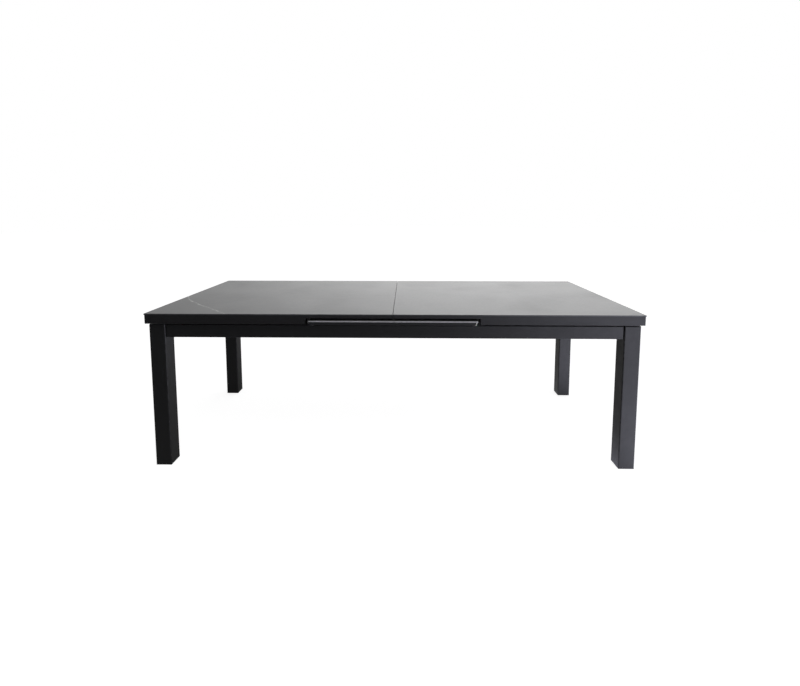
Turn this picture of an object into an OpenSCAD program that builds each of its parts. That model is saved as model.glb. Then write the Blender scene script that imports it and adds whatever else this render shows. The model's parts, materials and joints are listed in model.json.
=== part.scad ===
// Extending dining table: a metal frame on four square legs, a stone top in two
// sliding halves, and a loose extension leaf stored in a slot under the seam.
// Millimetres. X runs along the length, Y from front to back, Z up.
// The origin is on the floor under the middle of the closed top.

/* [Table] */
// Length of the closed top, left to right
table_l = 2300; // [2200:10:2400]
// Depth of the top, front to back
table_w = 950; // [900:10:1000]
// Height of the top surface above the floor
table_h = 750; // [730:5:770]
// How far the top overhangs the legs at the ends
end_overhang = 6; // [4:1:12]
// How far the top overhangs the legs at the front and back
side_overhang = 28; // [20:1:36]

/* [Top halves] */
// Thickness of the stone slabs
slab_t = 6; // [6:1:7]
// Chamfer along the slabs' upper edges
slab_arris = 0.8; // [0.4:0.1:1.2]
// Height of the metal skirt under the slabs
skirt_h = 42; // [40:1:44]
// Wall of the skirt profile
skirt_wall = 3; // [2.5:0.5:4]
// Width of the skirt's upper flange, which carries the slab's edge
skirt_flange = 30; // [26:1:34]
// How far the slab stands proud of the skirt
slab_proud = 1.5; // [1:0.5:3]
// Gap between the two halves when closed
seam_gap = 2; // [1:0.5:3]
// Height of the skirt that is left above the leaf slot
slot_bar_h = 13; // [12:1:14]

/* [Leaf] */
// Length of the extension leaf along X
leaf_l = 780; // [720:10:800]
// Thickness of the leaf, slab and frame together
leaf_t = 20.5; // [20:0.5:22]
// Free space at each end of the leaf in its slot
leaf_end_gap = 12; // [12:1:18]
// How far the leaf can be drawn out to the front
leaf_travel = 400; // [300:10:405]

/* [Legs and rails] */
// Width of the square leg tubes
leg_w = 76; // [70:1:80]
// Wall of the leg tubes
leg_wall = 3; // [2.5:0.5:4]
// Height of the rails between the legs
rail_h = 60; // [58:1:64]
// Thickness of the rails
rail_t = 25; // [24:1:28]
// How far the rails sit back from the legs' outer faces
rail_recess = 3; // [2:1:5]
// Gap between the frame and the skirt above it
frame_gap = 12; // [11:1:13]
// Height of the foot caps' visible base
foot_h = 5; // [4:1:8]

/* [Running gear] */
// Height of the roller tracks
track_h = 44; // [42:1:44]
// Depth of the roller tracks
track_d = 32; // [30:1:34]
// Wall of the roller tracks
track_wall = 2.5; // [2:0.5:3]
// Radius of the wheels' and rollers' axles
axle_r = 5; // [4:0.5:5]
// Radius of the fixed rollers beside the legs
roller_r = 12; // [11:0.5:13]

/* [Hidden] */
$fn = 48;

// Colours
frame_grey = [0.16, 0.17, 0.19];
stone_grey = [0.55, 0.56, 0.57];
zinc = [0.72, 0.73, 0.74];
nylon = [0.88, 0.87, 0.83];
black_plastic = [0.07, 0.07, 0.08];
cap_grey = [0.2, 0.2, 0.21];

// Clearance between parts that move past each other
run_gap = 0.3;
eps = 0.01;

// Levels, from the floor up
slab_z = table_h - slab_t;
slab_corner_r = 2.5;
skirt_z = slab_z - skirt_h;
slot_z = slab_z - slot_bar_h;
frame_z = skirt_z - frame_gap;
leg_top_z = frame_z + 3;
rail_z = frame_z - rail_h;
glide_t = 9;
leaf_z = frame_z + glide_t;
leaf_slab_z = leaf_z + leaf_t - slab_t;
leaf_frame_h = leaf_t - slab_t;

// Plan of the frame
frame_x = table_l / 2 - end_overhang;
frame_y = table_w / 2 - side_overhang;
leg_in_x = frame_x - leg_w;
leg_in_y = frame_y - leg_w;
rail_out_y = frame_y - rail_recess;
rail_in_y = rail_out_y - rail_t;
rail_out_x = frame_x - rail_recess;
rail_wall = 2;
rail_round = 2.5;
rail_end_gap = 2;
rail_end_bevel = 3;
edge_round = 5;
skirt_bevel = 3;

// Plan of the top
half_in = seam_gap / 2;
half_out = table_l / 2;
skirt_x = half_out - slab_proud;
skirt_y = table_w / 2 - slab_proud;
skirt_lip = 12;
skirt_lip_t = 2.5;
skirt_groove = 0.8;
slot_x = leaf_l / 2 + leaf_end_gap;
slot_round = 4;
bar_in_x = half_in + 1;
bar_w = 30;
carriage_in_x = slot_x + 2;
carriage_out_x = skirt_x - skirt_flange;
top_travel = leaf_l / 2 + half_in;

// Running gear: one lane behind each long rail
track_z = frame_z - 5 - track_h;
wheel_z = track_z + track_h / 2;
wheel_r = track_h / 2 - track_wall - 0.5;
wheel_w = 16;
wheel_y = rail_in_y - track_wall - 4.5 - wheel_w / 2;
wheel_x = 35;
beam_w = 20;
beam_h = 40;
beam_wall = 2;
lane_y = rail_in_y - track_d - 4 - beam_w / 2;
beam_in_x = 12;
roller_x = leg_in_x - 32;
roller_z = skirt_z - run_gap - roller_r;
beam_out_x = roller_x - roller_r - 10 - top_travel;
track_x = roller_x - 28;
hanger_w = 60;
hanger_t = 4;
hanger_at = [beam_out_x - 8 - hanger_w / 2, carriage_in_x + 36 + hanger_w / 2];
hanger_screw_x = 18;
hanger_levels = [skirt_z + skirt_h / 2, wheel_z];
roller_w = beam_w - 1;
bore_gap = 0.05;

// Fasteners and corner brackets
m8_r = 4;
m6_r = 3;
hole_gap = 0.2;
bracket_t = 3;
bracket_h = 50;
bracket_z = rail_z + 6;
bracket_tab_w = 28;
bracket_in_x = leg_in_x - 60;
bracket_in_y = rail_in_y - 42;
bracket_bolt_x = leg_in_x - 18;
bracket_bolt_y = rail_in_y - 24;
bolt_levels = [bracket_z + 10, bracket_z + bracket_h - 14];
bolt_grip = 9;
track_screw_n = 6;
track_screw_end = 60;
track_screw_pitch = 2 * (track_x - track_screw_end) / (track_screw_n - 1);
track_screw_at = [for (i = [0 : track_screw_n - 1])
    (i - (track_screw_n - 1) / 2) * track_screw_pitch];

// Alignment pins, the same distance below the surface in the halves and the leaf
pin_r = 3;
pin_drop = 11.5;
pin_reach = 9;
pin_at = [-300, 0, 300];
socket_gap = 0.4;
socket_depth = 12;

// Ribs
cross_rib_w = 25;
cross_rib_h = 25;
cross_rib_at = [carriage_in_x + cross_rib_w / 2, (carriage_in_x + carriage_out_x) / 2,
    carriage_out_x - cross_rib_w / 2];
flat_rib_w = 40;
flat_rib_h = slot_bar_h - 1;
flat_rib_at = [-330, -110, 110, 330];
leaf_rail_w = 20;
leaf_cap_x = leaf_l / 2 - 12;
leaf_side_x = leaf_l / 2 - 2;
leaf_rib_at = [-230, 0, 230];
leaf_glide_x = leaf_side_x - leaf_rail_w / 2;
leaf_stop_h = glide_t + 3;

// Guides on both sides of the stored leaf
guide_t = 2.5;
guide_foot = 24;
guide_x = slot_x - 0.5 - guide_t;
guide_y = rail_out_y - 4;
guide_screw_y = (rail_in_y + rail_out_y) / 2;

// ---------- Placing and shared shapes ----------

// Parts are drawn at +X and +Y, and mirrored to the left (side -1) or the front (face -1)
module at(side, face) {
    mirror([side < 0 ? 1 : 0, 0, 0])
        mirror([0, face < 0 ? 1 : 0, 0])
            children();
}

module rounded_rect(w, h, r) {
    translate([r, 0])
        square([w - 2 * r, h]);
    translate([0, r])
        square([w, h - 2 * r]);
    for (x = [r, w - r], y = [r, h - r])
        translate([x, y])
            circle(r);
}

module tube_section(w, h, wall, r) {
    difference() {
        rounded_rect(w, h, r);
        translate([wall, wall])
            square([w - 2 * wall, h - 2 * wall]);
    }
}

// Extrudes a Y-Z section along X from x0 to x1
module along_x(x0, x1) {
    translate([x0, 0, 0])
        rotate([90, 0, 90])
            linear_extrude(x1 - x0)
                children();
}

// Extrudes an X-Z section along Y from y0 to y1
module along_y(y0, y1) {
    translate([0, y1, 0])
        rotate([90, 0, 0])
            linear_extrude(y1 - y0)
                children();
}

// Slab with a small chamfer round its upper edges, from x0 to x1
module slab(x0, x1, z) {
    r = slab_corner_r;
    hy = table_w / 2;
    hull() {
        for (x = [x0 + r, x1 - r], y = [-hy + r, hy - r])
            translate([x, y, z]) {
                cylinder(r = r, h = slab_t - slab_arris, $fn = 32);
                cylinder(r = r - slab_arris, h = slab_t, $fn = 32);
            }
    }
}

// Skirt profile: outer wall at u = 0, flanges towards +u, small bevels on the outer edges
module skirt_section() {
    c = skirt_groove;
    polygon([
        [c, 0], [skirt_lip, 0], [skirt_lip, skirt_lip_t], [skirt_wall, skirt_lip_t],
        [skirt_wall, skirt_h - skirt_wall], [skirt_flange, skirt_h - skirt_wall],
        [skirt_flange, skirt_h], [c, skirt_h], [0, skirt_h - c], [0, c]
    ]);
}

// Bolt along +X: hex head before x = 0, shank after it
module bolt_x(r, shank) {
    rotate([0, 90, 0]) {
        translate([0, 0, -r * 1.3])
            cylinder(r = r * 1.8, h = r * 1.3, $fn = 6);
        cylinder(r = r, h = shank);
    }
}

module bolt_y(r, shank) {
    rotate([0, 0, 90])
        bolt_x(r, shank);
}

// Round hole along X or Y, centred on the origin
module hole_x(r, l) {
    rotate([0, 90, 0])
        cylinder(r = r, h = l, center = true);
}

module hole_y(r, l) {
    rotate([90, 0, 0])
        cylinder(r = r, h = l, center = true);
}

// ---------- Legs and frame ----------

// Leg's outer form: its upright edges and its top edges are all rounded
module leg_block() {
    h = leg_top_z - foot_h;
    intersection() {
        translate([leg_in_x, leg_in_y, foot_h])
            linear_extrude(h)
                rounded_rect(leg_w, leg_w, edge_round);
        translate([0, leg_in_y, foot_h])
            along_x(leg_in_x - 1, frame_x + 1)
                round_topped(leg_w, h, edge_round);
        translate([leg_in_x, 0, foot_h])
            along_y(leg_in_y - 1, frame_y + 1)
                round_topped(leg_w, h, edge_round);
    }
}

module round_topped(w, h, r) {
    square([w, h - r]);
    translate([r, 0])
        square([w - 2 * r, h]);
    for (x = [r, w - r])
        translate([x, h - r])
            circle(r);
}

module leg(side, face) {
    color(frame_grey)
        at(side, face)
            difference() {
                leg_block();
                translate([leg_in_x + leg_wall, leg_in_y + leg_wall, foot_h - 1])
                    cube([leg_w - 2 * leg_wall, leg_w - 2 * leg_wall,
                        leg_top_z - foot_h - leg_wall + 1]);
                for (z = bolt_levels)
                    translate([leg_in_x, bracket_bolt_y, z])
                        hole_x(m8_r + hole_gap, 4 * leg_wall);
            }
}

module foot_caps() {
    inset = 1;
    base_w = leg_w - 2 * inset;
    plug_w = leg_w - 2 * leg_wall - 0.4;
    plug_h = 20;
    bevel = 1.5;
    color(black_plastic)
        for (side = [-1, 1], face = [-1, 1])
            at(side, face)
                translate([leg_in_x + leg_w / 2, leg_in_y + leg_w / 2, 0]) {
                    hull() {
                        translate([-base_w / 2 + bevel, -base_w / 2 + bevel, 0])
                            cube([base_w - 2 * bevel, base_w - 2 * bevel, foot_h]);
                        translate([-base_w / 2, -base_w / 2, bevel])
                            cube([base_w, base_w, foot_h - bevel]);
                    }
                    translate([-plug_w / 2, -plug_w / 2, foot_h - eps])
                        cube([plug_w, plug_w, plug_h]);
                }
}

// Rectangular tube with its outer vertical end edges bevelled
module long_rail(face) {
    hx = leg_in_x - rail_end_gap;
    b = rail_end_bevel;
    color(frame_grey)
        at(1, face)
            difference() {
                intersection() {
                    translate([0, rail_in_y, rail_z])
                        along_x(-hx, hx)
                            tube_section(rail_t, rail_h, rail_wall, rail_round);
                    translate([0, 0, rail_z - 1])
                        linear_extrude(rail_h + 2)
                            polygon([
                                [-hx, rail_in_y - 1], [hx, rail_in_y - 1], [hx, rail_out_y - b],
                                [hx - b - 1, rail_out_y + 1], [-hx + b + 1, rail_out_y + 1],
                                [-hx, rail_out_y - b]
                            ]);
                }
                for (side = [-1, 1], z = bolt_levels)
                    translate([side * bracket_bolt_x, rail_in_y, z])
                        hole_y(m8_r + hole_gap, 3 * rail_wall);
            }
}

module end_rail(side) {
    color(frame_grey)
        at(side, 1)
            translate([rail_out_x - rail_t, 0, rail_z])
                along_y(-leg_in_y, leg_in_y)
                    tube_section(rail_t, rail_h, rail_wall, rail_round);
}

// Bent angle in each corner, with a tab that carries the roller stud
module corner_brackets() {
    color(zinc)
        for (side = [-1, 1], face = [-1, 1])
            at(side, face)
                difference() {
                    union() {
                        translate([bracket_in_x, rail_in_y - bracket_t, bracket_z])
                            cube([leg_in_x - bracket_in_x, bracket_t, bracket_h]);
                        translate([leg_in_x - bracket_t, bracket_in_y, bracket_z])
                            cube([bracket_t, rail_in_y - bracket_in_y, bracket_h]);
                        translate([roller_x - bracket_tab_w / 2, rail_in_y - bracket_t, bracket_z])
                            cube([bracket_tab_w, bracket_t, skirt_z - 3 - bracket_z]);
                    }
                    for (z = bolt_levels) {
                        translate([leg_in_x, bracket_bolt_y, z])
                            hole_x(m8_r + hole_gap, 4 * bracket_t);
                        translate([bracket_bolt_x, rail_in_y, z])
                            hole_y(m8_r + hole_gap, 4 * bracket_t);
                    }
                }
}

module bracket_bolts() {
    shank = bracket_t + bolt_grip;
    color(zinc)
        for (side = [-1, 1], face = [-1, 1], z = bolt_levels)
            at(side, face) {
                translate([leg_in_x - bracket_t, bracket_bolt_y, z])
                    bolt_x(m8_r, shank);
                translate([bracket_bolt_x, rail_in_y - bracket_t, z])
                    bolt_y(m8_r, shank);
            }
}

module cross_braces() {
    brace_w = 40;
    brace_h = track_z - rail_z - 1;
    color(frame_grey)
        for (side = [-1, 1])
            translate([side * slot_x - brace_w / 2, 0, rail_z])
                along_y(-rail_in_y, rail_in_y)
                    tube_section(brace_w, brace_h, rail_wall, rail_round - 0.5);
}

// ---------- Tracks, rollers and stops on the frame ----------

module roller_track(face) {
    d = track_d;
    h = track_h;
    t = track_wall;
    lip = 4;
    color(zinc)
        at(1, face)
            difference() {
                translate([0, rail_in_y - d, track_z])
                    along_x(-track_x, track_x)
                        polygon([
                            [d, 0], [d, h], [0, h], [0, h - t - lip], [t, h - t - lip], [t, h - t],
                            [d - t, h - t], [d - t, t], [t, t], [t, t + lip], [0, t + lip], [0, 0]
                        ]);
                for (x = track_screw_at)
                    translate([x, rail_in_y - t / 2, wheel_z])
                        hole_y(m6_r + hole_gap, 2 * t);
            }
}

// Screws of the tracks and, upright, of the leaf guides
module track_screws() {
    color(zinc) {
        for (face = [-1, 1], x = track_screw_at)
            at(1, face)
                translate([x, rail_in_y - track_wall, wheel_z])
                    rotate([-90, 0, 0])
                        pan_screw(track_wall);
        for (side = [-1, 1], face = [-1, 1])
            at(side, face)
                translate([guide_x + guide_t + guide_foot / 2, guide_screw_y, frame_z + guide_t])
                    rotate([180, 0, 0])
                        pan_screw(guide_t);
    }
}

// Head before z = 0, shank after it
module pan_screw(grip) {
    head_h = 2;
    translate([0, 0, -head_h])
        cylinder(r = 2 * m6_r, h = head_h);
    cylinder(r = m6_r, h = grip);
}

module leaf_glides() {
    color(nylon)
        for (side = [-1, 1], face = [-1, 1])
            at(side, face)
                translate([leaf_glide_x, (rail_in_y + rail_out_y) / 2, frame_z])
                    glide_pad(18, 18, glide_t - 0.2);
}

// Pad with softened ends
module glide_pad(w, d, h) {
    translate([-w / 2, -d / 2, 0])
        cube([w, d, h - 1]);
    translate([-w / 2, -d / 2 + 1, 0])
        cube([w, d - 2, h]);
}

// Angles across the rails, with the upright leg beside the stored leaf
module leaf_guides() {
    h = slot_z - 3 - frame_z;
    color(frame_grey)
        for (side = [-1, 1])
            at(side, 1)
                difference() {
                    translate([guide_x, 0, frame_z])
                        along_y(-guide_y, guide_y)
                            polygon([
                                [0, 0], [guide_t + guide_foot, 0], [guide_t + guide_foot, guide_t],
                                [guide_t, guide_t], [guide_t, h], [0, h]
                            ]);
                    for (face = [-1, 1])
                        translate([guide_x + guide_t + guide_foot / 2, face * guide_screw_y, frame_z])
                            cylinder(r = m6_r + hole_gap, h = 3 * guide_t, center = true);
                }
}

// Rubber blocks in the tracks, one ahead of each wheel
module travel_stops() {
    block_l = 15;
    color(black_plastic)
        for (side = [-1, 1], face = [-1, 1])
            at(side, face)
                translate([wheel_x + top_travel + wheel_r + 1.5,
                    rail_in_y - track_d + track_wall + run_gap, track_z + track_wall])
                    cube([block_l, track_d - 2 * track_wall - run_gap, track_h - 2 * track_wall]);
}

// Shouldered studs: a thick base, the roller's axle and a head
module roller_studs() {
    base_l = rail_in_y - bracket_t - lane_y - roller_w / 2 - run_gap;
    axle_l = base_l + roller_w + 2 * run_gap;
    head_h = 3;
    color(zinc)
        for (side = [-1, 1], face = [-1, 1])
            at(side, face)
                translate([roller_x, rail_in_y - bracket_t, roller_z])
                    rotate([90, 0, 0]) {
                        cylinder(r = axle_r + 3, h = base_l);
                        cylinder(r = axle_r, h = axle_l);
                        translate([0, 0, axle_l])
                            cylinder(r = axle_r + 2.5, h = head_h);
                    }
}

module roller(side, face) {
    color(nylon)
        at(side, face)
            translate([roller_x, lane_y, roller_z])
                rotate([90, 0, 0])
                    difference() {
                        cylinder(r = roller_r, h = roller_w, center = true);
                        cylinder(r = axle_r + bore_gap, h = roller_w + 2, center = true);
                    }
}

// ---------- Top halves ----------

module top_slab(side) {
    color(stone_grey)
        at(side, 1)
            slab(half_in, half_out, slab_z);
}

// Long skirt of one half: mitred and bevelled at the outer corner, cut away for the leaf slot
module skirt_long(side, face) {
    color(frame_grey)
        at(side, face)
            difference() {
                intersection() {
                    translate([0, skirt_y, skirt_z])
                        mirror([0, 1, 0])
                            along_x(bar_in_x, skirt_x)
                                skirt_section();
                    translate([0, 0, skirt_z - 1])
                        linear_extrude(skirt_h + 2)
                            polygon([
                                [0, skirt_y + 1], [0, skirt_y - skirt_flange - 1],
                                [skirt_x - skirt_flange - 1, skirt_y - skirt_flange - 1],
                                [skirt_x - skirt_bevel / 2, skirt_y - skirt_bevel / 2],
                                [skirt_x - skirt_bevel - 1, skirt_y + 1]
                            ]);
                }
                translate([0, 0, skirt_z - 1])
                    along_y(skirt_y - skirt_flange - 1, skirt_y + 1)
                        slot_shape(slot_z - skirt_z + 1);
            }
}

// Half of the leaf slot as seen from the front, h high, with a rounded corner
module slot_shape(h) {
    square([slot_x - slot_round, h]);
    square([slot_x, h - slot_round]);
    translate([slot_x - slot_round, h - slot_round])
        circle(slot_round);
}

module skirt_end(side) {
    w = skirt_y;
    f = skirt_flange;
    b = skirt_bevel;
    color(frame_grey)
        at(side, 1)
            intersection() {
                translate([skirt_x, 0, skirt_z])
                    mirror([1, 0, 0])
                        along_y(-w, w)
                            skirt_section();
                translate([0, 0, skirt_z - 1])
                    linear_extrude(skirt_h + 2)
                        polygon([
                            [skirt_x + 1, w - b - 1], [skirt_x - b / 2, w - b / 2],
                            [skirt_x - f - 1, w - f - 1], [skirt_x - f - 1, -w + f + 1],
                            [skirt_x - b / 2, -w + b / 2], [skirt_x + 1, -w + b + 1]
                        ]);
            }
}

// Bar beside the seam; the right-hand one has sockets for the pins
module seam_bar(side) {
    hy = skirt_y - skirt_flange;
    color(frame_grey)
        at(side, 1)
            difference() {
                translate([bar_in_x, -hy, slot_z])
                    cube([bar_w, 2 * hy, slot_bar_h]);
                for (y = pin_at)
                    translate([bar_in_x, y, table_h - pin_drop])
                        hole_x(pin_r + (side > 0 ? socket_gap : 0), 2 * socket_depth);
            }
}

module seam_pins() {
    color(zinc)
        for (y = pin_at)
            translate([-bar_in_x - socket_depth, y, table_h - pin_drop])
                rotate([0, 90, 0])
                    cylinder(r = pin_r, h = bar_in_x + socket_depth - half_in + pin_reach);
}

module flat_ribs(side) {
    color(frame_grey)
        at(side, 1)
            for (y = flat_rib_at)
                translate([bar_in_x + bar_w, y - flat_rib_w / 2, slab_z - flat_rib_h])
                    cube([carriage_out_x - bar_in_x - bar_w, flat_rib_w, flat_rib_h]);
}

// Cross ribs between the carriage rails, and their stubs out to the skirts
module cross_ribs(side) {
    z = slab_z - flat_rib_h - cross_rib_h;
    in_y = lane_y - beam_w / 2;
    out_y = lane_y + beam_w / 2;
    color(frame_grey)
        at(side, 1)
            for (x = cross_rib_at)
                translate([x - cross_rib_w / 2, 0, z]) {
                    along_y(-in_y, in_y)
                        tube_section(cross_rib_w, cross_rib_h, beam_wall, 2);
                    for (face = [-1, 1])
                        at(1, face)
                            along_y(out_y, skirt_y - skirt_wall)
                                tube_section(cross_rib_w, cross_rib_h, beam_wall, 2);
                }
}

module carriage_rails(side) {
    color(frame_grey)
        at(side, 1)
            for (face = [-1, 1])
                at(1, face)
                    difference() {
                        translate([0, lane_y - beam_w / 2, skirt_z])
                            along_x(carriage_in_x, carriage_out_x)
                                tube_section(beam_w, skirt_h, beam_wall, 2);
                        for (p = hanger_holes(hanger_levels[0]))
                            translate([p[0], lane_y - beam_w / 2, p[1]])
                                hole_y(m6_r + hole_gap, 3 * beam_wall);
                    }
}

// Screw places of the two hanger plates at height z: [x, z]
function hanger_holes(z) = [for (x = hanger_at, s = [-1, 1]) [x + s * hanger_screw_x, z]];

module runner_beams(side) {
    color(zinc)
        at(side, 1)
            for (face = [-1, 1])
                at(1, face)
                    difference() {
                        translate([0, lane_y - beam_w / 2, wheel_z - beam_h / 2])
                            along_x(beam_in_x, beam_out_x)
                                tube_section(beam_w, beam_h, beam_wall, 2);
                        for (p = hanger_holes(hanger_levels[1]))
                            translate([p[0], lane_y - beam_w / 2, p[1]])
                                hole_y(m6_r + hole_gap, 3 * beam_wall);
                        translate([wheel_x, lane_y, wheel_z])
                            hole_y(axle_r + hole_gap / 2, beam_w + 4);
                    }
}

// Plates that hang the runner beams under the carriage rails
module hanger_plates(side) {
    z0 = wheel_z - beam_h / 2 + 4;
    z1 = slab_z - 6;
    color(zinc)
        at(side, 1)
            for (face = [-1, 1], x = hanger_at)
                at(1, face)
                    difference() {
                        translate([x - hanger_w / 2, lane_y - beam_w / 2 - hanger_t, z0])
                            cube([hanger_w, hanger_t, z1 - z0]);
                        for (s = [-1, 1], z = hanger_levels)
                            translate([x + s * hanger_screw_x,
                                lane_y - beam_w / 2 - hanger_t / 2, z])
                                hole_y(m6_r + hole_gap, 2 * hanger_t);
                    }
}

module hanger_screws(side) {
    color(zinc)
        at(side, 1)
            for (face = [-1, 1], z = hanger_levels, p = hanger_holes(z))
                at(1, face)
                    translate([p[0], lane_y - beam_w / 2 - hanger_t, p[1]])
                        bolt_y(m6_r, hanger_t + 10);
}

module wheel_axles(side) {
    head_h = 4;
    tip_h = 1.5;
    beam_in = lane_y - beam_w / 2;
    beam_out = lane_y + beam_w / 2;
    wheel_in = wheel_y - wheel_w / 2 - run_gap;
    wheel_out = wheel_y + wheel_w / 2 + run_gap;
    color(zinc)
        at(side, 1)
            for (face = [-1, 1])
                at(1, face)
                    translate([wheel_x, 0, wheel_z])
                        rotate([-90, 0, 0]) {
                            translate([0, 0, beam_in - head_h])
                                cylinder(r = axle_r * 1.8, h = head_h, $fn = 6);
                            translate([0, 0, beam_in - eps])
                                cylinder(r = axle_r, h = wheel_out - beam_in + eps);
                            translate([0, 0, beam_out])
                                cylinder(r = axle_r + 3, h = wheel_in - beam_out);
                            translate([0, 0, wheel_out])
                                cylinder(r = axle_r + 2, h = tip_h);
                        }
}

module wheel(side, face) {
    color(nylon)
        at(side, face)
            translate([wheel_x, wheel_y, wheel_z])
                rotate([90, 0, 0])
                    difference() {
                        cylinder(r = wheel_r, h = wheel_w, center = true);
                        cylinder(r = axle_r + bore_gap, h = wheel_w + 2, center = true);
                        for (s = [-1, 1])
                            translate([0, 0, s * wheel_w / 2])
                                difference() {
                                    cylinder(r = wheel_r - 4, h = 5, center = true);
                                    cylinder(r = axle_r + 4, h = 6, center = true);
                                }
                    }
}

// ---------- Extension leaf ----------

module leaf_slab() {
    color(stone_grey)
        slab(-leaf_l / 2, leaf_l / 2, leaf_slab_z);
}

module leaf_edge_rail(face) {
    color(frame_grey)
        at(1, face)
            translate([0, skirt_y - leaf_rail_w, leaf_z])
                along_x(-leaf_cap_x, leaf_cap_x)
                    tube_section(leaf_rail_w, leaf_frame_h, beam_wall, 1.5);
}

module leaf_side_rails() {
    hy = skirt_y - leaf_rail_w;
    color(frame_grey)
        for (side = [-1, 1])
            at(side, 1)
                difference() {
                    translate([leaf_side_x - leaf_rail_w, 0, leaf_z])
                        along_y(-hy, hy)
                            tube_section(leaf_rail_w, leaf_frame_h, beam_wall, 1.5);
                    for (y = pin_at)
                        translate([leaf_side_x, y, leaf_slab_z + slab_t - pin_drop])
                            hole_x(pin_r + (side < 0 ? socket_gap : 0), 3 * beam_wall);
                }
}

module leaf_ribs() {
    hx = leaf_side_x - leaf_rail_w;
    color(frame_grey)
        for (y = leaf_rib_at)
            translate([0, y - leaf_rail_w / 2, leaf_z + 1])
                along_x(-hx, hx)
                    tube_section(leaf_rail_w, leaf_frame_h - 1, beam_wall, 1.5);
}

// Sloping plugs in the ends of the leaf's front and back rails
module leaf_end_caps() {
    slope = 6;
    base_w = 4;
    color(cap_grey)
        for (side = [-1, 1], face = [-1, 1])
            at(side, face)
                translate([leaf_cap_x, 0, leaf_z])
                    along_y(skirt_y - leaf_rail_w, skirt_y)
                        polygon([
                            [0, 0], [base_w, 0], [base_w + slope, leaf_frame_h], [0, leaf_frame_h]
                        ]);
}

module leaf_pins() {
    in_x = leaf_side_x - beam_wall;
    color(zinc)
        for (y = pin_at)
            translate([in_x, y, leaf_slab_z + slab_t - pin_drop])
                rotate([0, 90, 0])
                    cylinder(r = pin_r, h = leaf_l / 2 + pin_reach - half_in - in_x);
}

// Blocks under the leaf that meet the front rail at the end of its travel
module leaf_stops() {
    block_y = rail_in_y - leaf_travel - 3;
    color(black_plastic)
        for (side = [-1, 1])
            translate([side * leaf_glide_x - 8, -block_y, leaf_z - leaf_stop_h])
                cube([16, 2 * block_y, leaf_stop_h]);
}

leg(-1, -1);  // leg_front_left
leg(1, -1);  // leg_front_right
leg(-1, 1);  // leg_back_left
leg(1, 1);  // leg_back_right
foot_caps();
long_rail(-1);  // long_rail_front
long_rail(1);  // long_rail_back
end_rail(-1);  // end_rail_left
end_rail(1);  // end_rail_right
corner_brackets();
bracket_bolts();
roller_track(-1);  // roller_track_front
roller_track(1);  // roller_track_back
track_screws();
cross_braces();
leaf_glides();
leaf_guides();
travel_stops();
roller_studs();
roller(-1, -1);  // roller_front_left
roller(1, -1);  // roller_front_right
roller(-1, 1);  // roller_back_left
roller(1, 1);  // roller_back_right
top_slab(-1);  // slab_left
top_slab(1);  // slab_right
skirt_long(-1, -1);  // skirt_front_left
skirt_long(1, -1);  // skirt_front_right
skirt_long(-1, 1);  // skirt_back_left
skirt_long(1, 1);  // skirt_back_right
skirt_end(-1);  // skirt_end_left
skirt_end(1);  // skirt_end_right
seam_bar(-1);  // seam_bar_left
seam_bar(1);  // seam_bar_right
flat_ribs(-1);  // flat_ribs_left
flat_ribs(1);  // flat_ribs_right
cross_ribs(-1);  // cross_ribs_left
cross_ribs(1);  // cross_ribs_right
carriage_rails(-1);  // carriage_rails_left
carriage_rails(1);  // carriage_rails_right
runner_beams(-1);  // runner_beams_left
runner_beams(1);  // runner_beams_right
hanger_plates(-1);  // hanger_plates_left
hanger_plates(1);  // hanger_plates_right
hanger_screws(-1);  // hanger_screws_left
hanger_screws(1);  // hanger_screws_right
wheel_axles(-1);  // wheel_axles_left
wheel_axles(1);  // wheel_axles_right
wheel(-1, -1);  // wheel_front_left
wheel(1, -1);  // wheel_front_right
wheel(-1, 1);  // wheel_back_left
wheel(1, 1);  // wheel_back_right
seam_pins();
leaf_slab();
leaf_edge_rail(-1);  // leaf_front_rail
leaf_edge_rail(1);  // leaf_back_rail
leaf_side_rails();
leaf_ribs();
leaf_end_caps();
leaf_pins();
leaf_stops();
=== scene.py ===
"""Looks of the extending dining table: materials, small extra pieces, studio and camera.

Everything is in metres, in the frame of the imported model: X along the table, Y from
front to back, Z up, with the origin on the floor under the middle of the closed top.
"""

import json
import math
import random

import bmesh
import bpy
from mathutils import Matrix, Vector

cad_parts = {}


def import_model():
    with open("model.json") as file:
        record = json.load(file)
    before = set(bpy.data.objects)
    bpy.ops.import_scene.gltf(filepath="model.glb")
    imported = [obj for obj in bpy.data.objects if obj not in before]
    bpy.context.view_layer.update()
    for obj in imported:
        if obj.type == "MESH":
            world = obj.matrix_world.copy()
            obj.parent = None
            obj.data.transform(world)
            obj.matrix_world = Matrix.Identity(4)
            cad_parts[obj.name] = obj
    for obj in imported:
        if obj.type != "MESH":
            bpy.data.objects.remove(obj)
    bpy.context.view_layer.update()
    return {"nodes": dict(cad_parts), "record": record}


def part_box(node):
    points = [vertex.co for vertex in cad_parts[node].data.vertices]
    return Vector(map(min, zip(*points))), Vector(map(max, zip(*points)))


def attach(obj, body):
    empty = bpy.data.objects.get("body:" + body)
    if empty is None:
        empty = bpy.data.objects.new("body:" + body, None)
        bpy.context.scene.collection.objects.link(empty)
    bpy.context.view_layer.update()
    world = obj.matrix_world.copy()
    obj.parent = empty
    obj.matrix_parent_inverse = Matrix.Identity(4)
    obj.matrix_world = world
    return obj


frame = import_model()

SIDES = ("left", "right")
SIGN = {"left": -1, "right": 1}
WHITE = (1.0, 1.0, 1.0)

# Sizes that the boxes of the CAD nodes don't give, since a node holds several tubes
BEAM_W = 0.02
BEAM_WALL = 0.002
BRACE_W = 0.04
CROSS_RIB_W = 0.025
FLAT_RIB_W = 0.04
FLAT_RIB_COUNT = 4

random.seed(7)


# ---------- Node graphs ----------

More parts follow.
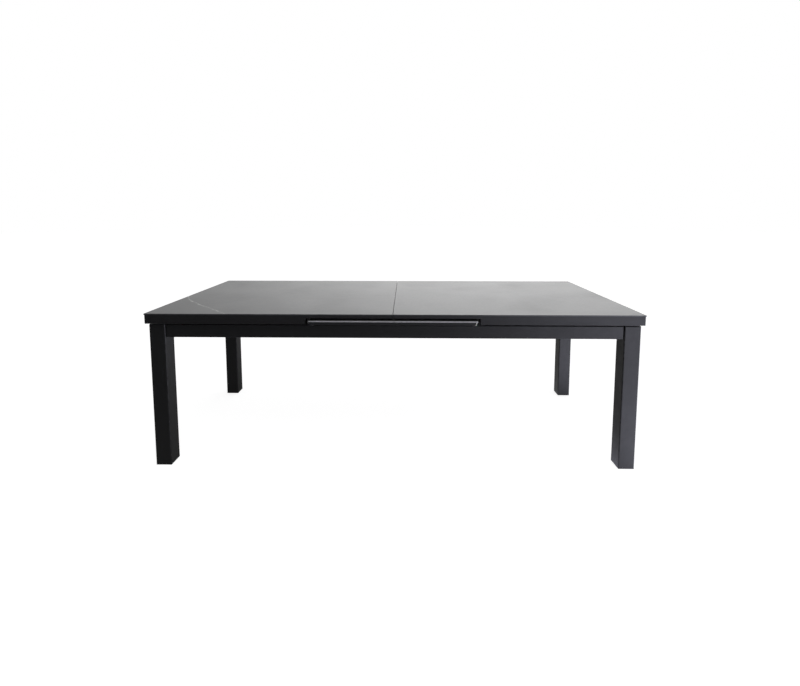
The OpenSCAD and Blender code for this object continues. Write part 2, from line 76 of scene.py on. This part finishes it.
class Graph:
    """One material, with short calls for the nodes that it is made of."""

    def __init__(self, name):
        self.material = bpy.data.materials.new(name)
        self.material.use_nodes = True
        tree = self.material.node_tree
        self.nodes = tree.nodes
        self.links = tree.links
        self.shader = next(n for n in tree.nodes if n.type == "BSDF_PRINCIPLED")
        coordinates = self.nodes.new("ShaderNodeTexCoord")
        self.place = coordinates.outputs["Object"]
        self.facing = coordinates.outputs["Normal"]

    def put(self, socket, value):
        if isinstance(value, bpy.types.NodeSocket):
            self.links.new(value, socket)
        else:
            socket.default_value = value

    def node(self, kind, **settings):
        made = self.nodes.new(kind)
        for key, value in settings.items():
            setattr(made, key, value)
        return made

    def math(self, operation, a, b=0.0):
        made = self.node("ShaderNodeMath", operation=operation)
        for socket, value in zip(made.inputs, (a, b)):
            self.put(socket, value)
        return made.outputs[0]

    def split(self, vector):
        made = self.node("ShaderNodeSeparateXYZ")
        self.put(made.inputs[0], vector)
        return made.outputs

    def stretched(self, factors):
        """The place on the object, with each axis multiplied by its factor."""
        made = self.node("ShaderNodeVectorMath", operation="MULTIPLY")
        self.put(made.inputs[0], self.place)
        made.inputs[1].default_value = factors
        return made.outputs[0]

    def noise(self, scale, detail, roughness=0.5, vector=None, distortion=0.0):
        made = self.node("ShaderNodeTexNoise")
        self.put(made.inputs["Vector"], vector or self.place)
        for key, value in (("Scale", scale), ("Detail", detail),
                           ("Roughness", roughness), ("Distortion", distortion)):
            made.inputs[key].default_value = value
        return made.outputs[0]

    def cells(self, scale):
        """Distance to the nearest of scattered points."""
        made = self.node("ShaderNodeTexVoronoi")
        self.put(made.inputs["Vector"], self.place)
        made.inputs["Scale"].default_value = scale
        return made.outputs["Distance"]

    def span(self, value, low, high, to_low=0.0, to_high=1.0):
        """Smooth step from to_low to to_high as value goes from low to high."""
        made = self.node("ShaderNodeMapRange", interpolation_type="SMOOTHSTEP")
        for socket, number in zip(made.inputs, (value, low, high, to_low, to_high)):
            self.put(socket, number)
        return made.outputs[0]

    def mix(self, share, a, b):
        made = self.node("ShaderNodeMix", data_type="RGBA")
        for index, value in ((0, share), (6, a), (7, b)):
            self.put(made.inputs[index], value)
        return made.outputs[2]

    def bump(self, height, distance):
        made = self.node("ShaderNodeBump")
        made.inputs["Distance"].default_value = distance
        self.put(made.inputs["Height"], height)
        return made.outputs[0]

    def finish(self, **sockets):
        """Fills the shader's sockets, named with _ for a space, and returns the material."""
        for key, value in sockets.items():
            self.put(self.shader.inputs[key.replace("_", " ")], value)
        return self.material


def rgb(red, green, blue):
    return (red, green, blue, 1.0)


# ---------- Materials ----------

def vein_mask(g):
    """The one light vein: from the left edge to the front edge across the front-left corner."""
    from_front = 0.41
    from_left = 0.38
    bow_size = 0.17
    wander_size = 0.026
    halo_width = 0.012
    low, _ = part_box("slab_left")
    start = Vector((low.x, low.y + from_front))
    end = Vector((low.x + from_left, low.y))
    along = (end - start).normalized()
    across = Vector((along.y, -along.x))
    length = (end - start).length
    x, y, _ = g.split(g.place)
    dx = g.math("SUBTRACT", x, start.x)
    dy = g.math("SUBTRACT", y, start.y)
    run = g.math("ADD", g.math("MULTIPLY", dx, along.x), g.math("MULTIPLY", dy, along.y))
    off = g.math("ADD", g.math("MULTIPLY", dx, across.x), g.math("MULTIPLY", dy, across.y))
    share = g.math("DIVIDE", run, length)
    rest = g.math("SUBTRACT", 1.0, share)
    bow = g.math("MULTIPLY", share, g.math("MULTIPLY", rest, rest))
    wander = g.math("SUBTRACT", g.noise(11.0, 4.0, 0.6), 0.5)
    off = g.math("SUBTRACT", off, g.math("MULTIPLY", bow, bow_size))
    off = g.math("SUBTRACT", off, g.math("MULTIPLY", wander, wander_size))
    distance = g.math("ABSOLUTE", off)
    width = g.span(g.noise(16.0, 3.0), 0.35, 0.65, 0.0012, 0.0042)
    core = g.span(g.math("DIVIDE", distance, width), 1.0, 0.35)
    halo = g.span(distance, halo_width, 0.001, 0.0, 0.12)
    broken = g.span(g.noise(30.0, 3.0), 0.42, 0.54, 0.08, 0.8)
    total = g.math("ADD", g.math("MULTIPLY", core, broken), halo)
    return g.math("MINIMUM", total, 1.0)


def stone(name, edge_colour, edge_roughness, veined):
    """Sintered stone: satin face, finished edges with a painted highlight on the arrises, and
    glass-fibre net glued on its underside.
    """
    g = Graph(name)
    up = g.split(g.facing)[2]
    cloud = g.noise(2.6, 6.0, 0.62, distortion=0.6)
    mottle = g.noise(70.0, 4.0, 0.65)
    speck = g.cells(620.0)
    face = g.mix(g.span(cloud, 0.3, 0.7), rgb(0.074, 0.075, 0.078), rgb(0.087, 0.088, 0.091))
    face = g.mix(g.span(mottle, 0.35, 0.7, 0.0, 0.3), face, rgb(0.135, 0.136, 0.139))
    face = g.mix(g.span(speck, 0.2, 0.05, 0.0, 0.35), face, rgb(0.04, 0.0405, 0.042))
    if veined:
        face = g.mix(vein_mask(g), face, rgb(0.5, 0.5, 0.49))
    side = g.span(g.math("ABSOLUTE", up), 0.9, 0.5)
    x, y, _ = g.split(g.place)
    from_seam = g.math("ABSOLUTE", x)
    # Painted highlight: the rounded arrises of the face, away from the seam, are painted lighter,
    # as if catching light from above.
    arris_highlight = g.math("MULTIPLY", g.span(up, 0.98, 0.85), g.span(up, 0.3, 0.5))
    arris_highlight = g.math("MULTIPLY", arris_highlight, g.span(from_seam, 0.01, 0.02))
    edge = g.mix(g.span(mottle, 0.3, 0.7, 0.0, 0.4), edge_colour, rgb(0.08, 0.08, 0.083))
    colour = g.mix(side, face, edge)
    colour = g.mix(g.math("MULTIPLY", arris_highlight, 0.35), colour, rgb(0.42, 0.42, 0.43))

    net_pitch = 0.005
    net = None
    for value in (x, y):
        wave = g.math("PINGPONG", value, net_pitch / 2)
        strand = g.span(wave, 0.0009, 0.0004)
        net = strand if net is None else g.math("MAXIMUM", net, strand)
    resin = g.mix(g.span(g.noise(9.0, 4.0), 0.35, 0.65), rgb(0.2, 0.19, 0.165),
                  rgb(0.27, 0.258, 0.225))
    backing = g.mix(net, resin, rgb(0.46, 0.45, 0.41))
    under = g.span(up, -0.5, -0.9)
    colour = g.mix(under, colour, backing)

    face_roughness = 0.31
    rough = g.span(cloud, 0.3, 0.7, 0.29, 0.315)
    rough = g.math("ADD", rough, g.span(g.noise(5.0, 5.0, 0.7), 0.45, 0.75, 0.0, 0.02))
    rough = g.math("ADD", rough, g.math("MULTIPLY", side, edge_roughness - face_roughness))
    rough = g.math("ADD", rough, g.math("MULTIPLY", under, 0.3))
    grain = g.math("ADD", g.noise(900.0, 3.0, 0.6), g.math("MULTIPLY", speck, 0.6))
    height = g.math("ADD", g.math("MULTIPLY", grain, 0.25),
                    g.math("MULTIPLY", g.math("MULTIPLY", net, under), 2.0))
    normal = g.bump(height, 0.00012)
    return g.finish(Base_Color=colour, Roughness=rough, Normal=normal, IOR=1.5)


def powder_coat(name):
    """Fine-textured anthracite powder coat over aluminium."""
    g = Graph(name)
    drift = g.noise(3.0, 4.0, 0.6)
    fleck = g.noise(1300.0, 2.0, 0.6)
    colour = g.mix(g.span(drift, 0.3, 0.7), rgb(0.0088, 0.0089, 0.0095), rgb(0.011, 0.0111, 0.0118))
    colour = g.mix(g.span(fleck, 0.6, 0.75, 0.0, 0.5), colour, rgb(0.03, 0.031, 0.035))
    flat = None
    for axis in g.split(g.facing):
        along = g.math("ABSOLUTE", axis)
        flat = along if flat is None else g.math("MAXIMUM", flat, along)
    # Painted edge highlight: the rounded edges are painted lighter in patches, part sheen from the
    # light and part wear.
    edge_sheen_and_wear = g.math("MULTIPLY", g.span(flat, 0.95, 0.85), g.span(g.noise(60.0, 4.0, 0.7), 0.35, 0.6))
    colour = g.mix(g.math("MULTIPLY", edge_sheen_and_wear, 0.5), colour, rgb(0.075, 0.077, 0.082))
    dust = g.math("MULTIPLY", g.span(g.split(g.facing)[2], 0.7, 1.0), g.noise(14.0, 5.0, 0.7))
    colour = g.mix(g.math("MULTIPLY", dust, 0.12), colour, rgb(0.16, 0.155, 0.145))
    rough = g.span(g.noise(35.0, 4.0, 0.65), 0.3, 0.7, 0.42, 0.5)
    peel = g.noise(230.0, 2.0, 0.5)
    height = g.math("ADD", g.math("MULTIPLY", fleck, 0.35), peel)
    return g.finish(Base_Color=colour, Roughness=rough, Normal=g.bump(height, 0.00007), IOR=1.5)


def extruded_aluminium(name):
    """Mill-finish extrusion: fine die lines along its length, dull patches of oxide."""
    g = Graph(name)
    lines = g.noise(1.0, 4.0, 0.7, g.stretched((6.0, 1400.0, 1400.0)))
    oxide = g.noise(12.0, 5.0, 0.6)
    colour = g.mix(g.span(oxide, 0.35, 0.7), rgb(0.56, 0.565, 0.575), rgb(0.68, 0.685, 0.69))
    colour = g.mix(g.span(lines, 0.35, 0.6, 0.3, 0.0), colour, rgb(0.4, 0.4, 0.41))
    rough = g.math("ADD", g.span(oxide, 0.3, 0.7, 0.3, 0.42), g.span(lines, 0.3, 0.7, 0.0, 0.08))
    return g.finish(Base_Color=colour, Roughness=rough, Normal=g.bump(lines, 0.00004),
                    Metallic=1.0, Anisotropic=0.4)


def zinc_plate(name):
    """Zinc-plated steel: a bluish bright plate with faint yellow passivation and dull spots."""
    g = Graph(name)
    patch = g.noise(45.0, 4.0, 0.6)
    spot = g.cells(260.0)
    colour = g.mix(g.span(patch, 0.35, 0.65), rgb(0.52, 0.55, 0.58), rgb(0.66, 0.64, 0.56))
    colour = g.mix(g.span(spot, 0.22, 0.05, 0.0, 0.4), colour, rgb(0.38, 0.38, 0.39))
    rough = g.math("ADD", g.span(patch, 0.3, 0.7, 0.24, 0.36), g.span(spot, 0.25, 0.05, 0.0, 0.15))
    return g.finish(Base_Color=colour, Roughness=rough, Normal=g.bump(patch, 0.00003),
                    Metallic=1.0)


def plastic(name, dark, light, roughness, grain_scale, grain_depth, **extra):
    """Moulded plastic or rubber: a slightly uneven colour and a fine moulded grain."""
    g = Graph(name)
    flow = g.noise(18.0, 4.0, 0.6)
    grain = g.noise(grain_scale, 3.0, 0.6)
    colour = g.mix(g.span(flow, 0.3, 0.7), dark, light)
    colour = g.mix(g.span(grain, 0.55, 0.75, 0.0, 0.35), colour, light)
    rough = g.span(g.math("ADD", flow, g.math("MULTIPLY", grain, 0.4)), 0.45, 0.95,
                   roughness - 0.05, roughness + 0.06)
    return g.finish(Base_Color=colour, Roughness=rough, Normal=g.bump(grain, grain_depth), **extra)


MATERIALS = {
    "stone": stone("stone_veined", rgb(0.035, 0.036, 0.038), edge_roughness=0.3, veined=True),
    "leaf_stone": stone("stone_leaf", rgb(0.5, 0.5, 0.51), edge_roughness=0.45, veined=False),
    "frame_paint": powder_coat("powder_coat"),
    "track_aluminium": extruded_aluminium("extruded_aluminium"),
    "zinc_steel": zinc_plate("zinc_plate"),
    "nylon": plastic("nylon", rgb(0.7, 0.69, 0.63), rgb(0.82, 0.81, 0.77),
                     roughness=0.42, grain_scale=700.0, grain_depth=0.00004,
                     Subsurface_Weight=0.12, Subsurface_Scale=0.002),
    "foot_plastic": plastic("foot_plastic", rgb(0.014, 0.014, 0.015), rgb(0.026, 0.026, 0.028),
                            roughness=0.5, grain_scale=1100.0, grain_depth=0.00006),
    "cap_plastic": plastic("cap_plastic", rgb(0.024, 0.0245, 0.026), rgb(0.034, 0.0345, 0.036),
                           roughness=0.26, grain_scale=1000.0, grain_depth=0.00005),
    "rubber_black": plastic("rubber_black", rgb(0.012, 0.012, 0.012), rgb(0.028, 0.028, 0.028),
                            roughness=0.72, grain_scale=500.0, grain_depth=0.0001),
}


def paint_cad_nodes():
    """Each CAD node gets the material of its slot in the record."""
    for part in frame["record"]["subparts"]:
        slot = "leaf_stone" if part["node"] == "leaf_slab" else part["material_slot"]
        materials = frame["nodes"][part["node"]].data.materials
        if not len(materials):
            materials.append(MATERIALS[slot])
        for index in range(len(materials)):
            materials[index] = MATERIALS[slot]


# ---------- Mesh tools ----------

def join_rings(bm, first, second):
    """Faces between two rings with the same number of points."""
    count = len(first)
    for k in range(count):
        n = (k + 1) % count
        bm.faces.new((first[k], first[n], second[n], second[k]))


def piece(name, bm, body, slot, smooth_angle=40.0):
    """Makes a piece of a bmesh: it rides on a body and takes its finish from a slot."""
    bmesh.ops.remove_doubles(bm, verts=bm.verts, dist=1e-6)
    bmesh.ops.recalc_face_normals(bm, faces=bm.faces)
    limit = math.radians(smooth_angle)
    for face in bm.faces:
        face.smooth = True
    for edge in bm.edges:
        edge.smooth = edge.is_manifold and edge.calc_face_angle(math.pi) < limit
    mesh = bpy.data.meshes.new(name)
    bm.to_mesh(mesh)
    bm.free()
    obj = bpy.data.objects.new(name, mesh)
    bpy.context.scene.collection.objects.link(obj)
    mesh.materials.append(MATERIALS[slot])
    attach(obj, body)


def add_bead(bm, path, radius, ripple, pitch, closed=False, sides=8):
    """Sweeps a round bead along path; its radius swells by ripple every pitch metres."""
    points = resample(path, pitch / 4, closed)
    rings = []
    travelled = 0.0
    count = len(points)
    for i, point in enumerate(points):
        before = points[i - 1] if i or closed else point
        after = points[(i + 1) % count] if i + 1 < count or closed else point
        direction = (after - before).normalized()
        level = Vector((0, 0, 1)) if abs(direction.z) < 0.9 else Vector((1, 0, 0))
        across = direction.cross(level).normalized()
        level = across.cross(direction)
        size = radius + ripple * math.sin(2 * math.pi * travelled / pitch)
        size *= 1 + random.uniform(-0.05, 0.05)
        rings.append([bm.verts.new(point + size * (math.cos(a) * across + math.sin(a) * level))
                      for a in (2 * math.pi * k / sides for k in range(sides))])
        travelled += (after - point).length
    pairs = list(zip(rings, rings[1:]))
    if closed:
        pairs.append((rings[-1], rings[0]))
    for first, second in pairs:
        join_rings(bm, first, second)
    if not closed:
        bm.faces.new(rings[0])
        bm.faces.new(rings[-1][::-1])


def resample(path, step, closed):
    """Points every step metres or so along a path of straight stretches."""
    ends = path[1:] + path[:1] if closed else path[1:]
    points = []
    for a, b in zip(path, ends):
        parts = max(1, round((b - a).length / step))
        points += [a.lerp(b, k / parts) for k in range(parts)]
    if not closed:
        points.append(path[-1])
    return points


def add_block(bm, low, high, bevel, segments):
    """Box from low to high with rounded edges."""
    made = bmesh.ops.create_cube(bm, size=1.0)["verts"]
    middle = (low + high) / 2
    size = high - low
    for v in made:
        v.co = Vector((v.co.x * size.x, v.co.y * size.y, v.co.z * size.z)) + middle
    edges = {e for v in made for e in v.link_edges}
    bmesh.ops.bevel(bm, geom=list(edges), offset=bevel, segments=segments, profile=0.5,
                    affect="EDGES")


def add_strip(bm, section, y_low, y_high):
    """Extrudes an X-Z section from y_low to y_high."""
    front, back = [[bm.verts.new((x, y, z)) for x, z in section] for y in (y_low, y_high)]
    join_rings(bm, front, back)
    bm.faces.new(front)
    bm.faces.new(back[::-1])


def add_dome(bm, centre, out, radius, rise):
    """Domed rivet head, sunk a little into a face that looks along y."""
    sunk = 0.0001
    sides = 16
    levels = 4
    rings = []
    for level in range(levels):
        angle = math.pi / 2 * level / levels
        y = centre.y + out * (rise * math.sin(angle) - sunk)
        size = radius * math.cos(angle)
        turns = [2 * math.pi * k / sides for k in range(sides)]
        rings.append([bm.verts.new((centre.x + size * math.cos(a), y,
                                    centre.z + size * math.sin(a))) for a in turns])
    for first, second in zip(rings, rings[1:]):
        join_rings(bm, first, second)
    bm.faces.new(rings[0])
    bm.faces.new(rings[-1])


# ---------- Extra pieces ----------

RIVET_R = 0.0011
RIVET_RISE = 0.0005
WELD_R = 0.0017
WELD_RIPPLE = 0.0003
WELD_PITCH = 0.0035
GLUE_R = 0.0022
GLUE_RIPPLE = 0.0004
GLUE_PITCH = 0.03


def under_weld(bm, x_low, x_high, y, z_low, z_high):
    """Weld bead down one side of a tube, across its underside and up the other side."""
    corners = [(x_low, z_high), (x_low, z_low), (x_high, z_low), (x_high, z_high)]
    path = [Vector((x, y, z)) for x, z in corners]
    add_bead(bm, path, WELD_R, WELD_RIPPLE, WELD_PITCH)


def frame_welds():
    """Beads where the end rails meet the legs and the cross braces meet the long rails."""
    bm = bmesh.new()
    inset = 0.001
    top_gap = 0.002
    for side in SIDES:
        low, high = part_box("end_rail_" + side)
        for y in (low.y, high.y):
            corners = [(low.x + inset, low.z + inset), (high.x - inset, low.z + inset),
                       (high.x - inset, high.z - inset), (low.x + inset, high.z - inset)]
            add_bead(bm, [Vector((x, y, z)) for x, z in corners], WELD_R, WELD_RIPPLE,
                     WELD_PITCH, closed=True)
    low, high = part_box("cross_braces")
    for x in (low.x, high.x - BRACE_W):
        for y in (low.y, high.y):
            under_weld(bm, x, x + BRACE_W, y, low.z + inset, high.z - top_gap)
    piece("frame_welds", bm, "frame", "frame_paint", 60.0)


def top_welds(side):
    """Beads where the cross ribs of one half meet its carriage rails."""
    bm = bmesh.new()
    inset = 0.001
    top_gap = 0.004
    half_w = CROSS_RIB_W / 2
    low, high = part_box("cross_ribs_" + side)
    rail_low, rail_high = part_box("carriage_rails_" + side)
    middle = (low.x + high.x) / 2
    for x in (low.x + half_w, middle, high.x - half_w):
        for y in (rail_low.y, rail_low.y + BEAM_W, rail_high.y - BEAM_W, rail_high.y):
            under_weld(bm, x - half_w, x + half_w, y, low.z + inset, high.z - top_gap)
    piece("top_welds_" + side, bm, "top_" + side, "frame_paint", 60.0)


def glue_beads(side):
    """Adhesive squeezed out along both edges of each flat rib, under the slab."""
    bm = bmesh.new()
    low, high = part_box("flat_ribs_" + side)
    end_gap = 0.003
    pitch = (high.y - low.y - FLAT_RIB_W) / (FLAT_RIB_COUNT - 1)
    below_slab = 0.0004
    z = high.z - below_slab
    for k in range(FLAT_RIB_COUNT):
        for y in (low.y + k * pitch, low.y + k * pitch + FLAT_RIB_W):
            path = [Vector((low.x + end_gap, y, z)), Vector((high.x - end_gap, y, z))]
            add_bead(bm, path, GLUE_R, GLUE_RIPPLE, GLUE_PITCH, sides=6)
    piece("glue_beads_" + side, bm, "top_" + side, "rubber_black", 60.0)


def tube_plugs(side):
    """Plastic plugs in both ends of the runner beams and the inner ends of the carriage rails."""
    bm = bmesh.new()
    plate = 0.002
    plate_bevel = 0.0009
    inset = 0.0003
    tongue_l = 0.012
    tongue_t = 0.0015
    tongue_bevel = 0.0003
    slack = 0.0002
    inner, outer = 0, 1
    for node, ends in (("runner_beams_" + side, (inner, outer)),
                       ("carriage_rails_" + side, (inner,))):
        low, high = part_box(node)
        end_x = sorted((low.x, high.x), key=abs)
        for end in ends:
            x = end_x[end]
            out = SIGN[side] if end == outer else -SIGN[side]
            for y in (low.y, high.y - BEAM_W):
                a = Vector((min(x, x + out * plate), y + inset, low.z + inset))
                b = Vector((max(x, x + out * plate), y + BEAM_W - inset, high.z - inset))
                add_block(bm, a, b, plate_bevel, segments=3)
                depth = x - out * tongue_l
                for z in (low.z + BEAM_WALL + slack, high.z - BEAM_WALL - slack - tongue_t):
                    a = Vector((min(x, depth), y + BEAM_WALL + slack, z))
                    b = Vector((max(x, depth), y + BEAM_W - BEAM_WALL - slack, z + tongue_t))
                    add_block(bm, a, b, tongue_bevel, segments=1)
    piece("tube_plugs_" + side, bm, "top_" + side, "foot_plastic")


def seam_gasket():
    """Bulb seal on the left half's seam bar, seen as the dark line in the seam."""
    bm = bmesh.new()
    low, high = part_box("seam_bar_left")
    x = high.x
    z = (low.z + high.z) / 2
    half_h = 0.004
    base_t = 0.0006
    bulb = 0.0015
    bulb_x = x + 2.0 * base_t
    end_gap = 0.002
    section = [(x, z - half_h), (x + base_t, z - half_h)]
    steps = 10
    for k in range(steps + 1):
        angle = -math.pi / 2 + math.pi * k / steps
        section.append((bulb_x + bulb * math.cos(angle), z + 2.0 * bulb * math.sin(angle)))
    section += [(x + base_t, z + half_h), (x, z + half_h)]
    add_strip(bm, section, low.y + end_gap, high.y - end_gap)
    piece("seam_gasket", bm, "top_left", "rubber_black", 50.0)


def leaf_end_highlight_pads():
    """Light nylon pads along the sloping edges of the plugs at the leaf's right end: a painted
    highlight where that end catches the light from the right.
    """
    bm = bmesh.new()
    low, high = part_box("leaf_end_caps")
    slope = 0.006
    inset = 0.0003
    foot_w = 0.004
    top_w = 0.0045
    gap = 0.00005
    thickness = 0.0009
    bevel = 0.00045
    foot_x = high.x - slope
    foot_z = low.z + 0.0005
    top_z = high.z - 0.0002
    for out in (-1.0, 1.0):
        wall = out * (high.y + gap)
        face = out * (high.y + thickness)
        outline = [(foot_x - inset - foot_w, foot_z), (foot_x - inset, foot_z),
                   (high.x - inset, top_z), (high.x - inset - top_w, top_z)]
        rear = [bm.verts.new((x, wall, z)) for x, z in outline]
        front = [bm.verts.new((x, face, z)) for x, z in outline]
        join_rings(bm, rear, front)
        bm.faces.new(rear)
        rim = bm.faces.new(front).edges[:]
        bmesh.ops.bevel(bm, geom=rim, offset=bevel, segments=3, affect="EDGES")
        for share in (0.25, 0.72):
            x = foot_x - inset - foot_w / 2 + share * slope
            z = low.z + share * (high.z - low.z)
            add_dome(bm, Vector((x, face, z)), out, RIVET_R, RIVET_RISE)
    piece("leaf_end_highlight_pads", bm, "leaf", "nylon", 35.0)


# ---------- Studio ----------

FLOOR_R = 30.0
BOUNCE_Z = -0.0005
BACKDROP_R = 40.0


def camera():
    """Wide lens in front of the table, a little to the right of its middle."""
    tilt_down = 0.0912
    turn_left = 0.016
    data = bpy.data.cameras.new("camera")
    data.sensor_width = 36.0
    data.lens = 19.245
    data.shift_y = -0.1155
    data.clip_end = 200.0
    obj = bpy.data.objects.new("camera", data)
    bpy.context.scene.collection.objects.link(obj)
    obj.location = (0.06396, -2.39079, 1.21846)
    obj.rotation_euler = (math.pi / 2 - tilt_down, 0.0, turn_left)
    bpy.context.scene.camera = obj


def softbox(name, place, target, width, height, radiance):
    """Rectangular light of even brightness, unseen by the camera."""
    data = bpy.data.lights.new(name, "AREA")
    data.shape = "RECTANGLE"
    data.size = width
    data.size_y = height
    data.energy = radiance * math.pi * width * height
    obj = bpy.data.objects.new(name, data)
    bpy.context.scene.collection.objects.link(obj)
    obj.location = place
    obj.rotation_euler = (Vector(target) - Vector(place)).to_track_quat("-Z", "Y").to_euler()
    obj.visible_camera = False


def smooth_span(tree, value, low, high, to_low, to_high):
    """Smooth step from to_low to to_high as value goes from low to high."""
    made = tree.nodes.new("ShaderNodeMapRange")
    made.interpolation_type = "SMOOTHSTEP"
    tree.links.new(value, made.inputs[0])
    for socket, number in zip(made.inputs[1:], (low, high, to_low, to_high)):
        socket.default_value = number
    return made.outputs[0]


def combined(tree, operation, first, *others):
    """All the values added, or all multiplied."""
    for value in others:
        made = tree.nodes.new("ShaderNodeMath")
        made.operation = operation
        tree.links.new(first, made.inputs[0])
        tree.links.new(value, made.inputs[1])
        first = made.outputs[0]
    return first


def cooled(tree, strength):
    """White where strength is 0, slightly blue where it is 1 or more."""
    tint = tree.nodes.new("ShaderNodeMix")
    tint.data_type = "RGBA"
    tree.links.new(smooth_span(tree, strength, 0.0, 1.0, 0.0, 1.0), tint.inputs[0])
    tint.inputs[6].default_value = WHITE + (1.0,)
    tint.inputs[7].default_value = (0.95, 0.955, 1.12, 1.0)
    return tint.outputs[2]


def world():
    """Dim room: a wide white wall behind the table, and a cool glow in front, to the right."""
    made = bpy.data.worlds.new("studio")
    made.use_nodes = True
    tree = made.node_tree
    background = next(n for n in tree.nodes if n.type == "BACKGROUND")
    parts = tree.nodes.new("ShaderNodeSeparateXYZ")
    tree.links.new(tree.nodes.new("ShaderNodeTexCoord").outputs["Generated"], parts.inputs[0])
    x, y, z = parts.outputs
    wall = combined(tree, "MULTIPLY",
                    smooth_span(tree, y, -0.1, 0.75, 0.0, 1.0),
                    smooth_span(tree, x, -0.66, 0.1, 0.38, 1.55),
                    smooth_span(tree, x, 0.15, 0.6, 1.0, 0.76),
                    smooth_span(tree, z, 0.5, 0.12, 0.1, 1.28))
    glow = combined(tree, "MULTIPLY",
                    smooth_span(tree, x, 0.25, 0.8, 0.0, 1.2),
                    smooth_span(tree, y, 0.0, -0.75, 0.0, 1.0),
                    smooth_span(tree, z, 0.5, 0.0, 0.0, 1.0))
    side = smooth_span(tree, x, -0.4, 0.9, 0.15, 0.45)
    tree.links.new(combined(tree, "ADD", wall, side, glow), background.inputs["Strength"])
    tree.links.new(cooled(tree, glow), background.inputs["Color"])
    made.cycles_visibility.camera = False
    bpy.context.scene.world = made


def emitting(name, glow, diffuse):
    """Neutral stage material, clear from behind, so that the floor hides nothing from below."""
    material = bpy.data.materials.new(name)
    material.use_nodes = True
    nodes, links = material.node_tree.nodes, material.node_tree.links
    nodes.clear()
    output = nodes.new("ShaderNodeOutputMaterial")
    surface = nodes.new("ShaderNodeBsdfDiffuse")
    surface.inputs["Color"].default_value = (diffuse, diffuse, diffuse, 1.0)
    light = nodes.new("ShaderNodeEmission")
    light.inputs["Color"].default_value = WHITE + (1.0,)
    light.inputs["Strength"].default_value = glow
    both = nodes.new("ShaderNodeAddShader")
    links.new(surface.outputs[0], both.inputs[0])
    links.new(light.outputs[0], both.inputs[1])
    clear = nodes.new("ShaderNodeBsdfTransparent")
    choice = nodes.new("ShaderNodeMixShader")
    links.new(nodes.new("ShaderNodeNewGeometry").outputs["Backfacing"], choice.inputs[0])
    links.new(both.outputs[0], choice.inputs[1])
    links.new(clear.outputs[0], choice.inputs[2])
    links.new(choice.outputs[0], output.inputs["Surface"])
    return material


def stage_disc(name, z, material):
    bm = bmesh.new()
    bmesh.ops.create_circle(bm, cap_ends=True, segments=96, radius=FLOOR_R)
    for v in bm.verts:
        v.co.z = z
    return stage_mesh(name, bm, material)


def stage_mesh(name, bm, material):
    mesh = bpy.data.meshes.new(name)
    bm.to_mesh(mesh)
    bm.free()
    mesh.materials.append(material)
    obj = bpy.data.objects.new(name, mesh)
    bpy.context.scene.collection.objects.link(obj)
    return obj


def bounce_glow(material):
    """Light from the floor: strong and cool in front, to the right, and weak behind the table."""
    tree = material.node_tree
    parts = tree.nodes.new("ShaderNodeSeparateXYZ")
    tree.links.new(tree.nodes.new("ShaderNodeTexCoord").outputs["Object"], parts.inputs[0])
    x, y, _ = parts.outputs
    near = combined(tree, "MULTIPLY",
                    smooth_span(tree, x, 0.82, 1.42, 0.1, 2.85),
                    smooth_span(tree, y, 0.6, -0.2, 0.3, 1.0),
                    smooth_span(tree, y, -1.9, -0.6, 0.0, 1.0))
    far = combined(tree, "MULTIPLY",
                   smooth_span(tree, x, 0.3, 2.8, 0.0, 2.65),
                   smooth_span(tree, y, -1.0, -2.2, 0.0, 1.0))
    back = combined(tree, "MULTIPLY",
                    smooth_span(tree, y, -0.4, 0.8, 0.0, 1.0),
                    smooth_span(tree, x, -1.0, 0.6, 0.05, 0.23))
    light = next(n for n in tree.nodes if n.type == "EMISSION")
    front = combined(tree, "ADD", near, far)
    tree.links.new(combined(tree, "ADD", front, back), light.inputs["Strength"])
    tree.links.new(cooled(tree, front), light.inputs["Color"])


def stage():
    """A pale floor and backdrop for the camera, and a darker floor for the bounced light."""
    floor = stage_disc("floor", 0.0, emitting("floor_pale", glow=0.88, diffuse=0.5))
    bm = bmesh.new()
    bmesh.ops.create_uvsphere(bm, u_segments=64, v_segments=32, radius=BACKDROP_R)
    bmesh.ops.reverse_faces(bm, faces=bm.faces)
    dome = stage_mesh("backdrop", bm, emitting("backdrop_pale", glow=1.0, diffuse=0.0))
    for obj in (floor, dome):
        obj.visible_diffuse = False
        obj.visible_glossy = False
        obj.visible_transmission = False
        obj.visible_shadow = False
    grey = emitting("floor_grey", glow=0.0, diffuse=0.12)
    bounce_glow(grey)
    bounce = stage_disc("floor_bounce", BOUNCE_Z, grey)
    bounce.visible_camera = False


paint_cad_nodes()
frame_welds()
seam_gasket()
# Painted highlight: light pads on the sloping plugs at the leaf's right end.
leaf_end_highlight_pads()
for half in SIDES:
    top_welds(half)
    glue_beads(half)
    tube_plugs(half)

camera()
world()
stage()
softbox("fill_top", place=(0.5, -1.6, 3.0), target=(0.1, -0.3, 0.7),
        width=3.0, height=1.6, radiance=1.3)
bpy.context.scene.view_settings.view_transform = "Standard"
